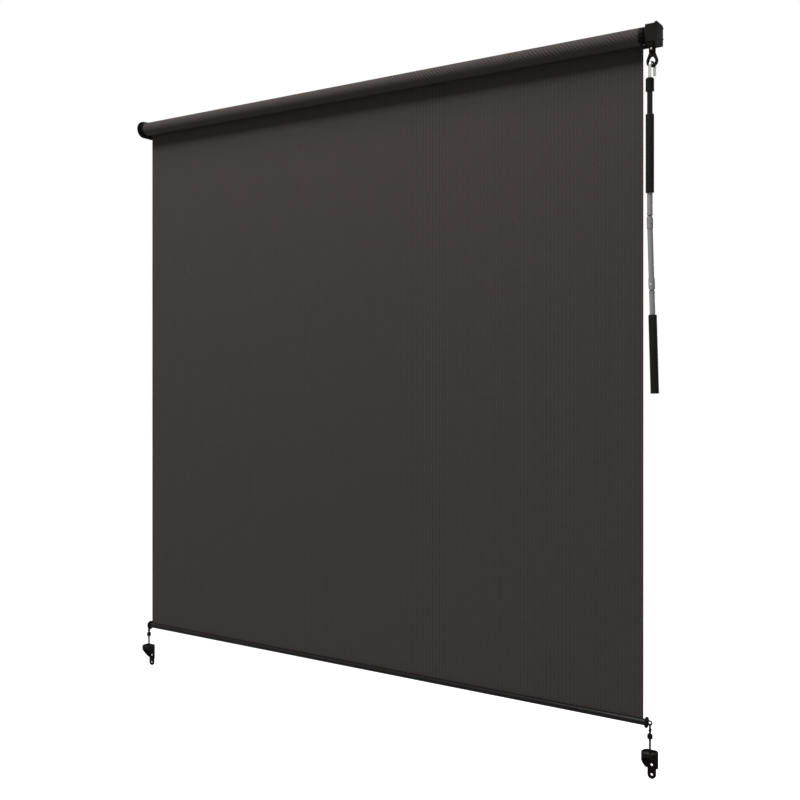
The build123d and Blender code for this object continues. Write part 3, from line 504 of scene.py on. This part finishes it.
finish_of_slot = {
    "fabric": wound_screen,
    "tube_aluminium": mill_aluminium,
    "black_moulding": black_moulding,
    "grip_moulding": grip_moulding,
    "grey_tube": grey_coat,
    "black_tube": black_coat,
    "elbow_moulding": grey_coat,
    "steel": zinc_plate,
    "bronze": machined_bronze,
    "bush_nylon": natural_nylon,
    "hem_metal": black_coat,
    "spline_plastic": black_moulding,
    "cord_elastic": braided_elastic,
    "black_wire": black_coat,
}
finish_of_node = {"upper_elbow_pin": grey_coat}
slot_of_node = {entry["node"]: entry["material_slot"] for entry in frame["record"]["subparts"]}
for name, node in nodes.items():
    node.data.materials.clear()
    node.data.materials.append(finish_of_node.get(name, finish_of_slot[slot_of_node[name]]))


# Geometry Nodes


def shape_tree(name, inputs):
    """A Geometry Nodes tree with a geometry and a material socket besides its own named inputs."""
    return new_group(
        "GeometryNodeTree",
        name,
        [("Geometry", "NodeSocketGeometry", None)] + inputs + [("Finish", "NodeSocketMaterial", None)],
        [("Geometry", "NodeSocketGeometry")],
    )


def close_tree(tree, start, end, geometry):
    """Ends a tree in real meshes that carry the finish."""
    real = add(tree, "GeometryNodeRealizeInstances", {0: geometry})
    feeds = {"Geometry": real.outputs[0], "Material": start.outputs["Finish"]}
    dressed = add(tree, "GeometryNodeSetMaterial", feeds)
    tree.links.new(dressed.outputs[0], end.inputs[0])


def smoothed(tree, geometry):
    """Smooth shading on a tree's geometry."""
    return add(tree, "GeometryNodeSetShadeSmooth", {"Geometry": geometry}).outputs[0]


def spot_axes(tree):
    """The three coordinates of a tree's points."""
    return add(tree, "ShaderNodeSeparateXYZ", {0: add(tree, "GeometryNodeInputPosition").outputs[0]}).outputs


def grow(name, tree, values, seed_mesh=None, solidify=0.0):
    """Runs a tree with its named inputs set and returns the result as a plain mesh object."""
    seed = put(name + "_seed", seed_mesh or bpy.data.meshes.new(name + "_seed"))
    modifier = seed.modifiers.new("shape", "NODES")
    modifier.node_group = tree
    for socket in tree.interface.items_tree:
        if socket.in_out == "INPUT" and socket.name in values:
            modifier[socket.identifier] = values[socket.name]
    if solidify:
        wall = seed.modifiers.new("wall", "SOLIDIFY")
        wall.thickness = solidify
        wall.offset = 0
    mesh = bake(seed)
    mesh.set_sharp_from_angle(angle=SHARP_ANGLE)
    return put(name, mesh)


def cloth_tree():
    """Hanging cloth: a grid stood upright, with a slight ripple that dies out at the roll and the hem."""
    tree, start, end = shape_tree(
        "hanging_cloth",
        [
            ("Width", "NodeSocketFloat", 1.0),
            ("Length", "NodeSocketFloat", 1.0),
            ("Plane", "NodeSocketFloat", 0.0),
            ("Ripple", "NodeSocketFloat", 0.0),
        ],
    )
    given = start.outputs
    size = {"Size X": given["Width"], "Size Y": given["Length"], "Vertices X": 81, "Vertices Y": 81}
    grid = add(tree, "GeometryNodeMeshGrid", size)
    spot = spot_axes(tree)
    half = sums(tree, "DIVIDE", given["Length"], 2.0)
    height = sums(tree, "SUBTRACT", spot[1], half)
    share = sums(tree, "DIVIDE", spot[1], half)
    held = sums(tree, "SUBTRACT", 1.0, sums(tree, "MULTIPLY", share, share))
    wander = sums(tree, "SUBTRACT", noise(tree, {"Scale": 2.2, "Detail": 1.0}), 0.5)
    ripple = sums(tree, "MULTIPLY", sums(tree, "MULTIPLY", wander, held), given["Ripple"])
    depth = sums(tree, "ADD", given["Plane"], ripple)
    upright = add(tree, "ShaderNodeCombineXYZ", {0: spot[0], 1: depth, 2: height}).outputs[0]
    stood = add(tree, "GeometryNodeSetPosition", {"Geometry": grid.outputs[0], "Position": upright})
    close_tree(tree, start, end, smoothed(tree, stood.outputs[0]))
    return tree


def wound_tree():
    """Wound cloth: a spiral of turns swept along the roller."""
    tree, start, end = shape_tree(
        "wound_cloth",
        [
            ("Width", "NodeSocketFloat", 1.0),
            ("Turns", "NodeSocketFloat", 1.0),
            ("Inner", "NodeSocketFloat", 0.02),
            ("Outer", "NodeSocketFloat", 0.025),
            ("Axis", "NodeSocketVector", None),
        ],
    )
    given = start.outputs
    spiral = add(
        tree,
        "GeometryNodeCurveSpiral",
        {
            "Resolution": 44,
            "Rotations": given["Turns"],
            "Start Radius": given["Inner"],
            "End Radius": given["Outer"],
            "Height": 0.0,
        },
    ).outputs[0]
    half = sums(tree, "DIVIDE", given["Width"], 2.0)
    low = add(tree, "ShaderNodeCombineXYZ", {1: sums(tree, "MULTIPLY", half, -1.0)}).outputs[0]
    high = add(tree, "ShaderNodeCombineXYZ", {1: half}).outputs[0]
    line = add(tree, "GeometryNodeCurvePrimitiveLine", {"Start": low, "End": high}).outputs[0]
    ends = add(tree, "GeometryNodeResampleCurve", {"Curve": line, "Count": 2}).outputs[0]
    swept = add(tree, "GeometryNodeCurveToMesh", {"Curve": spiral, "Profile Curve": ends}).outputs[0]
    spot = spot_axes(tree)
    turned = add(tree, "ShaderNodeCombineXYZ", {0: spot[2], 1: spot[0], 2: spot[1]}).outputs[0]
    placed = add(tree, "ShaderNodeVectorMath", {0: turned, 1: given["Axis"]}, operation="ADD").outputs[0]
    laid = add(tree, "GeometryNodeSetPosition", {"Geometry": swept, "Position": placed})
    close_tree(tree, start, end, smoothed(tree, laid.outputs[0]))
    return tree


def round_sweep(tree, curve, radius, sides):
    """A capped round rod along a tree's curve."""
    ring = add(tree, "GeometryNodeCurvePrimitiveCircle", {"Resolution": sides, "Radius": radius}).outputs[0]
    feeds = {"Curve": curve, "Profile Curve": ring, "Fill Caps": True}
    return add(tree, "GeometryNodeCurveToMesh", feeds).outputs[0]


def braid_tree():
    """Braided sleeve: strands that wind both ways round a cord's route, over a core."""
    tree, start, end = shape_tree(
        "braided_sleeve",
        [
            ("Strands", "NodeSocketInt", 8),
            ("Core", "NodeSocketFloat", 0.002),
            ("Strand", "NodeSocketFloat", 0.0005),
            ("Lay", "NodeSocketFloat", 0.012),
        ],
    )
    given = start.outputs
    route = add(tree, "GeometryNodeMeshToCurve", {"Mesh": given["Geometry"]}).outputs[0]
    fine = add(tree, "GeometryNodeResampleCurve", {"Curve": route, "Count": 64}).outputs[0]
    feeds = {"Geometry": fine, "Amount": given["Strands"]}
    copies = add(tree, "GeometryNodeDuplicateElements", feeds, domain="SPLINE").outputs
    number = copies["Duplicate Index"]
    run = add(tree, "GeometryNodeSplineParameter").outputs["Length"]
    other_way = sums(tree, "SUBTRACT", sums(tree, "MULTIPLY", sums(tree, "MODULO", number, 2.0), 2.0), 1.0)
    full_turn = sums(tree, "MULTIPLY", other_way, 2 * math.pi)
    wind = sums(tree, "MULTIPLY", sums(tree, "DIVIDE", run, given["Lay"]), full_turn)
    phase = sums(tree, "MULTIPLY", sums(tree, "DIVIDE", number, given["Strands"]), 2 * math.pi)
    angle = sums(tree, "ADD", wind, phase)
    over_under = sums(tree, "SINE", sums(tree, "MULTIPLY", angle, 2.0))
    rise = sums(tree, "MULTIPLY", over_under, sums(tree, "MULTIPLY", given["Strand"], 0.25))
    reach = sums(tree, "ADD", given["Core"], rise)
    beside = sums(tree, "MULTIPLY", sums(tree, "COSINE", angle), reach)
    before = sums(tree, "MULTIPLY", sums(tree, "SINE", angle), reach)
    aside = add(tree, "ShaderNodeCombineXYZ", {0: beside, 1: before}).outputs[0]
    wound = add(tree, "GeometryNodeSetPosition", {"Geometry": copies[0], "Offset": aside}).outputs[0]
    strands = round_sweep(tree, wound, given["Strand"], 6)
    core = round_sweep(tree, fine, given["Core"], 16)
    both = add(tree, "GeometryNodeJoinGeometry")
    tree.links.new(core, both.inputs[0])
    tree.links.new(strands, both.inputs[0])
    close_tree(tree, start, end, smoothed(tree, both.outputs[0]))
    return tree


def row_tree():
    """A row of fasteners: one head on each point of a line."""
    tree, start, end = shape_tree(
        "fastener_row",
        [
            ("Head", "NodeSocketObject", None),
            ("First", "NodeSocketVector", None),
            ("Step", "NodeSocketVector", None),
            ("Count", "NodeSocketInt", 2),
        ],
    )
    given = start.outputs
    line = {"Count": given["Count"], "Start Location": given["First"], "Offset": given["Step"]}
    spots = add(tree, "GeometryNodeMeshLine", line).outputs[0]
    head = add(tree, "GeometryNodeObjectInfo", {"Object": given["Head"]}).outputs["Geometry"]
    placed = add(tree, "GeometryNodeInstanceOnPoints", {"Points": spots, "Instance": head})
    close_tree(tree, start, end, placed.outputs[0])
    return tree


hanging_cloth = cloth_tree()
wound_cloth = wound_tree()
braided_sleeve = braid_tree()
fastener_row = row_tree()

# Hanging cloth, held by the roll above and the hem bar below
sheet = grow(
    "hanging_fabric",
    hanging_cloth,
    {
        "Width": SHEET_WIDTH,
        "Length": -SHEET_BOTTOM,
        "Plane": SHEET_Y,
        "Ripple": SHEET_RIPPLE,
        "Finish": hanging_screen,
    },
    solidify=FABRIC_THICKNESS,
)
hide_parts("fabric_sheet")
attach(sheet, "wall_frame")
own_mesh(sheet)

# Wound cloth
roll = grow(
    "wound_fabric",
    wound_cloth,
    {
        "Width": FABRIC_WIDTH,
        "Turns": ROLL_TURNS,
        "Inner": ROLL_CORE + FABRIC_THICKNESS / 2,
        "Outer": ROLL_RADIUS - FABRIC_THICKNESS / 2,
        "Axis": (0, ROLL_AXIS_Y, 0),
        "Finish": wound_screen,
    },
    solidify=LAYER_THICKNESS,
)
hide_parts("fabric_roll")
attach(roll, "roller")


def smooth_line(name, corners):
    """A curve whose one smooth line has those corners as its control points."""
    curve = bpy.data.curves.new(name, "CURVE")
    curve.dimensions = "3D"
    spline = curve.splines.new("NURBS")
    spline.points.add(len(corners) - 1)
    for point, corner in zip(spline.points, corners):
        point.co = (*corner, 1)
    spline.order_u = 3
    spline.use_endpoint_u = True
    return curve


def knot(name, centre, radius, strand):
    """A tightened overhand knot, as a ring of cord drawn into a lump."""
    bends = [
        (0, 0, 1.2),
        (0.55, 0.2, 0.45),
        (0.2, 0.62, -0.1),
        (-0.6, 0.1, -0.25),
        (-0.1, -0.62, 0.15),
        (0.6, -0.1, -0.1),
        (0, 0.2, -0.75),
    ]
    curve = smooth_line(name, [Vector(centre) + Vector(bend) * radius for bend in bends])
    curve.bevel_depth = strand
    curve.bevel_resolution = 3
    curve.use_fill_caps = True
    mesh = bake(put(name + "_line", curve))
    mesh.materials.clear()
    mesh.materials.append(braided_elastic)
    return put(name, mesh)


def route_points(name, corners):
    """Points along the smooth line through a cord's run."""
    curve = smooth_line(name, corners)
    curve.resolution_u = 24
    return bake(put(name, curve))


# Elastic cords, from the bead down to the knot below the cup
for side, name in ((-1, "left"), (1, "right")):
    x = side * TIE_X
    corners = [(x, SHEET_Y, CORD_TOP), (x, SHEET_Y, (CORD_TOP + KNOT_Z) / 2), (x, SHEET_Y, KNOT_Z)]
    run = route_points("cord_route_" + name, corners)
    sleeve = grow(
        "elastic_cord_" + name,
        braided_sleeve,
        {
            "Strands": STRAND_COUNT,
            "Core": SLEEVE_CORE,
            "Strand": STRAND_RADIUS,
            "Lay": STRAND_LAY,
            "Finish": braided_elastic,
        },
        seed_mesh=run,
    )
    lump = knot("cord_knot_" + name, (x, SHEET_Y, KNOT_Z), KNOT_RADIUS, KNOT_STRAND)
    lashing = knot("cord_lashing_" + name, (x, SHEET_Y, LASHING_Z), LASHING_RADIUS, LASHING_STRAND)
    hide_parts("tie_cord_" + name)
    for piece in (sleeve, lump, lashing):
        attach(piece, "tie_down_" + name)


def screw_head(name, radius, height, recess):
    """A domed head facing +X with a cross recess."""
    shape = bmesh.new()
    around = 24
    angles = [step * math.tau / around for step in range(around)]
    dome = [(1.0, 0.0), (1.0, 0.35), (0.93, 0.62), (0.76, 0.86), (0.5, 0.98)]
    crown = dome[-1][1]

    def spot(share, rise, angle):
        """A new point at a share of the radius and of the height."""
        reach = share * radius
        return shape.verts.new((rise * height, reach * math.cos(angle), reach * math.sin(angle)))

    def wall(lower, upper):
        """Faces between two rings of points."""
        for step in range(around):
            following = (step + 1) % around
            shape.faces.new((lower[step], lower[following], upper[following], upper[step]))

    rings = [[spot(share, rise, angle) for angle in angles] for share, rise in dome]
    for lower, upper in zip(rings, rings[1:]):
        wall(lower, upper)
    shape.faces.new(list(reversed(rings[0])))
    arm_of_cross = {0: 0.44, 1: 0.40, 5: 0.40}
    mouth = [spot(arm_of_cross.get(step % 6, 0.16), crown, angle) for step, angle in enumerate(angles)]
    depth = crown * height - recess
    bottom = [shape.verts.new((depth, 0.7 * vertex.co.y, 0.7 * vertex.co.z)) for vertex in mouth]
    wall(rings[-1], mouth)
    wall(mouth, bottom)
    shape.faces.new(bottom)
    bmesh.ops.recalc_face_normals(shape, faces=shape.faces)
    mesh = bpy.data.meshes.new(name)
    shape.to_mesh(mesh)
    shape.free()
    return put(name, mesh)


# Cover screws with cross recesses, over the plain ones of the solids
low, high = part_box("cover_screws")
head_radius = (high.y - low.y) / 2
head = screw_head("screw_head_pattern", head_radius, HEAD_HEIGHT, RECESS_DEPTH)
first = Vector((high.x - HEAD_HEIGHT, (low.y + high.y) / 2, low.z + head_radius))
step = Vector((0, 0, high.z - low.z - 2 * head_radius))
cover_heads = grow(
    "cover_screw_heads",
    fastener_row,
    {"Head": head, "First": first, "Step": step, "Count": 2, "Finish": black_coat},
)
bpy.data.objects.remove(head)
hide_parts("cover_screws")
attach(cover_heads, "wall_frame")

# Camera at the photograph's viewing angle
camera_data = bpy.data.cameras.new("camera")
camera_data.lens = 45
camera_data.sensor_width = 36
camera_data.shift_y = -0.036
camera = put("camera", camera_data)
camera.location = (1.808, -2.56, -0.870)
camera.rotation_euler = (math.radians(90), 0, math.radians(33.03))
bpy.context.scene.camera = camera


# Light: a key from the front and above, a panel overhead, a fill behind and an even surround


def lamp(name, place, aim, width, depth, energy):
    """A rectangular area lamp that points at a spot on the blind."""
    data = bpy.data.lights.new(name, "AREA")
    data.shape = "RECTANGLE"
    data.size = width
    data.size_y = depth
    data.energy = energy
    made = put(name, data)
    made.location = place
    made.rotation_euler = (Vector(aim) - made.location).to_track_quat("-Z", "Y").to_euler()


lamp("key", place=(-0.5, -3.55, 4.75), aim=(0, 0, -0.25), width=1.5, depth=1.5, energy=349)
lamp("panel", place=(0, -1.6, 4.2), aim=(0, 0, -0.6), width=2.6, depth=1.2, energy=108)
lamp("back_fill", place=(-0.4, 5.5, -0.3), aim=(0, 0, -0.9), width=2.0, depth=2.0, energy=170)

world = bpy.data.worlds.new("surround")
bpy.context.scene.world = world
world.use_nodes = True
sky = world.node_tree
surround = sky.nodes["Background"]
surround.inputs["Color"].default_value = (1, 1, 1, 1)
ray = add(sky, "ShaderNodeLightPath").outputs
mirrored = sums(sky, "MAXIMUM", ray["Is Glossy Ray"], ray["Is Transmission Ray"])
seen = sums(sky, "MAXIMUM", ray["Is Camera Ray"], mirrored)
sky.links.new(remap(sky, seen, (0.0, 1.0), (0.2, 1.0)), surround.inputs["Strength"])

# Pale floor below the blind
floor_mesh = bpy.data.meshes.new("floor")
floor_corners = [
    (-FLOOR_REACH, -FLOOR_REACH, FLOOR_Z),
    (FLOOR_REACH, -FLOOR_REACH, FLOOR_Z),
    (FLOOR_REACH, FLOOR_REACH, FLOOR_Z),
    (-FLOOR_REACH, FLOOR_REACH, FLOOR_Z),
]
floor_mesh.from_pydata(floor_corners, [], [(0, 1, 2, 3)])
floor = put("floor", floor_mesh)
pale = bpy.data.materials.new("pale_floor")
pale.use_nodes = True
ground = pale.node_tree
paint = ground.nodes["Principled BSDF"]
paint.inputs["Base Color"].default_value = (0.7, 0.7, 0.7, 1)
paint.inputs["Roughness"].default_value = 0.9
paint.inputs["Emission Color"].default_value = (1, 1, 1, 1)
ground_ray = add(ground, "ShaderNodeLightPath").outputs
glow = sums(ground, "MULTIPLY", ground_ray["Is Camera Ray"], 0.85)
ground.links.new(glow, paint.inputs["Emission Strength"])
floor_mesh.materials.append(pale)
floor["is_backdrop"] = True

bpy.context.scene.view_settings.view_transform = "Standard"

low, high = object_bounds()
